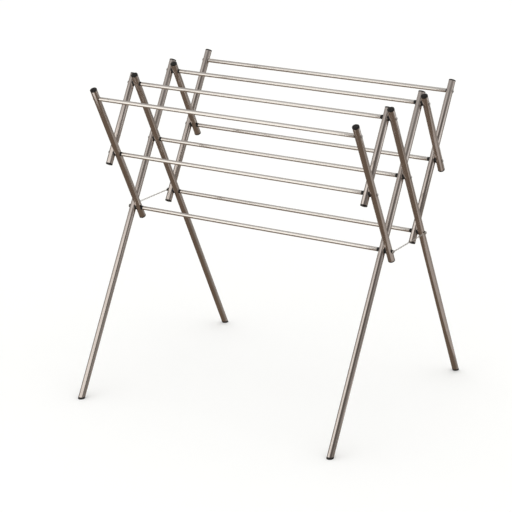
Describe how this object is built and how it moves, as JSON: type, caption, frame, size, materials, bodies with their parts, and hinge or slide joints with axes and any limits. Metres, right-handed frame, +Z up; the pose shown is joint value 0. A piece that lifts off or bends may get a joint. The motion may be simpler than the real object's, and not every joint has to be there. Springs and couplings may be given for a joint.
{
  "type": "folding clothes drying rack",
  "caption": "Free-standing accordion clothes drying rack: crossed tube bars at both ends, hanging rods between them, restraint chains and plastic end caps; folds flat.",
  "frame": {"origin": "on the floor, under the centre of the rack", "axes": "+X along the rods, +Y from the front feet to the rear feet, +Z up"},
  "size_m": [0.984, 0.8994, 1.0358],
  "materials": {
    "bar_steel": "bright-drawn stainless tube, warm grey, satin along its length",
    "rod_steel": "polished stainless tube",
    "pin_steel": "turned steel",
    "chain_steel": "plated wire links",
    "cap_plastic": "moulded black plastic with a soft sheen",
    "foot_plastic": "moulded black plastic, worn matt on the floor face",
    "joint_plastic": "moulded black plastic"
  },
  "bodies": {
    "rear_legs": {"rear_leg_left": "bar_steel", "rear_leg_right": "bar_steel", "rear_leg_caps": "cap_plastic", "rear_leg_feet": "foot_plastic", "rear_leg_top_rod": "rod_steel", "rear_leg_centre_rod": "rod_steel", "rear_leg_plugs": "joint_plastic", "rear_leg_pins": "pin_steel", "rear_leg_pin_caps": "pin_steel", "rear_leg_saddles": "joint_plastic"},
    "front_legs": {"front_leg_left": "bar_steel", "front_leg_right": "bar_steel", "front_leg_caps": "cap_plastic", "front_leg_feet": "foot_plastic", "front_leg_top_rod": "rod_steel", "front_leg_plugs": "joint_plastic", "front_leg_pins": "pin_steel", "front_leg_pin_caps": "pin_steel", "front_leg_saddles": "joint_plastic"},
    "front_links": {"front_link_left": "bar_steel", "front_link_right": "bar_steel", "front_link_caps": "cap_plastic", "front_link_rod": "rod_steel", "front_link_plugs": "joint_plastic", "front_link_pins": "pin_steel", "front_link_pin_caps": "pin_steel", "front_link_saddles": "joint_plastic"},
    "rear_links": {"rear_link_left": "bar_steel", "rear_link_right": "bar_steel", "rear_link_caps": "cap_plastic", "rear_link_rod": "rod_steel", "rear_link_plugs": "joint_plastic", "rear_link_pins": "pin_steel", "rear_link_pin_caps": "pin_steel", "rear_link_saddles": "joint_plastic"},
    "front_wing": {"front_wing_left": "bar_steel", "front_wing_right": "bar_steel", "front_wing_caps": "cap_plastic", "front_wing_top_rod": "rod_steel", "front_wing_low_rod": "rod_steel", "front_wing_plugs": "joint_plastic", "front_wing_pins": "pin_steel", "front_wing_pin_caps": "pin_steel", "front_wing_spacers": "joint_plastic"},
    "rear_wing": {"rear_wing_left": "bar_steel", "rear_wing_right": "bar_steel", "rear_wing_caps": "cap_plastic", "rear_wing_top_rod": "rod_steel", "rear_wing_low_rod": "rod_steel", "rear_wing_plugs": "joint_plastic", "rear_wing_pins": "pin_steel", "rear_wing_pin_caps": "pin_steel", "rear_wing_spacers": "joint_plastic"},
    "chain_left_front": {"chain_left_front": "chain_steel"},
    "chain_left_middle": {"chain_left_middle": "chain_steel"},
    "chain_left_rear": {"chain_left_rear": "chain_steel"},
    "chain_right_front": {"chain_right_front": "chain_steel"},
    "chain_right_middle": {"chain_right_middle": "chain_steel"},
    "chain_right_rear": {"chain_right_rear": "chain_steel"}
  },
  "joints": [
    {"name": "fold", "type": "hinge", "parent": "rear_legs", "child": "front_legs", "pos_m": [0, 0, 0.788], "axis": [1, 0, 0], "range_deg": [0, 52.4]},
    {"name": "front_link_pivot", "type": "hinge", "parent": "rear_legs", "child": "front_links", "pos_m": [0, -0.11635, 0.99791], "axis": [1, 0, 0], "range_deg": [0, 52.4]},
    {"name": "rear_wing_pivot", "type": "hinge", "parent": "rear_legs", "child": "rear_wing", "pos_m": [0, 0.11635, 0.57809], "axis": [1, 0, 0], "range_deg": [0, 52.4]},
    {"name": "front_wing_pivot", "type": "hinge", "parent": "front_legs", "child": "front_wing", "pos_m": [0, -0.11635, 0.57809], "axis": [1, 0, 0], "range_deg": [-52.4, 0]},
    {"name": "rear_link_pivot", "type": "hinge", "parent": "front_legs", "child": "rear_links", "pos_m": [0, 0.11635, 0.99791], "axis": [1, 0, 0], "range_deg": [-52.4, 0]},
    {"name": "chain_left_front_swing", "type": "hinge", "parent": "front_wing", "child": "chain_left_front", "pos_m": [-0.4884, -0.11635, 0.57809], "axis": [1, 0, 0], "range_deg": [-59.6, 0], "deforming": ["chain_left_front"]},
    {"name": "chain_left_middle_swing", "type": "hinge", "parent": "chain_left_front", "child": "chain_left_middle", "pos_m": [-0.4884, -0.00306, 0.57809], "axis": [1, 0, 0], "range_deg": [0, 85.8], "deforming": ["chain_left_middle"]},
    {"name": "chain_left_rear_swing", "type": "hinge", "parent": "rear_wing", "child": "chain_left_rear", "pos_m": [-0.4884, 0.11635, 0.57809], "axis": [1, 0, 0], "range_deg": [0, 59.6], "deforming": ["chain_left_rear"]},
    {"name": "chain_right_front_swing", "type": "hinge", "parent": "front_wing", "child": "chain_right_front", "pos_m": [0.4884, -0.11635, 0.57809], "axis": [1, 0, 0], "range_deg": [-59.6, 0], "deforming": ["chain_right_front"]},
    {"name": "chain_right_middle_swing", "type": "hinge", "parent": "chain_right_front", "child": "chain_right_middle", "pos_m": [0.4884, -0.00306, 0.57809], "axis": [1, 0, 0], "range_deg": [0, 85.8], "deforming": ["chain_right_middle"]},
    {"name": "chain_right_rear_swing", "type": "hinge", "parent": "rear_wing", "child": "chain_right_rear", "pos_m": [0.4884, 0.11635, 0.57809], "axis": [1, 0, 0], "range_deg": [0, 59.6], "deforming": ["chain_right_rear"]}
  ],
  "couplings": [
    {"joint": "front_link_pivot", "follows": "fold", "ratio": 1},
    {"joint": "rear_wing_pivot", "follows": "fold", "ratio": 1},
    {"joint": "front_wing_pivot", "follows": "fold", "ratio": -1},
    {"joint": "rear_link_pivot", "follows": "fold", "ratio": -1},
    {"joint": "chain_left_front_swing", "follows": "fold", "ratio": -1.1339},
    {"joint": "chain_left_middle_swing", "follows": "fold", "ratio": 1.6339},
    {"joint": "chain_left_rear_swing", "follows": "fold", "ratio": 1.1339},
    {"joint": "chain_right_front_swing", "follows": "fold", "ratio": -1.1339},
    {"joint": "chain_right_middle_swing", "follows": "fold", "ratio": 1.6339},
    {"joint": "chain_right_rear_swing", "follows": "fold", "ratio": 1.1339}
  ]
}
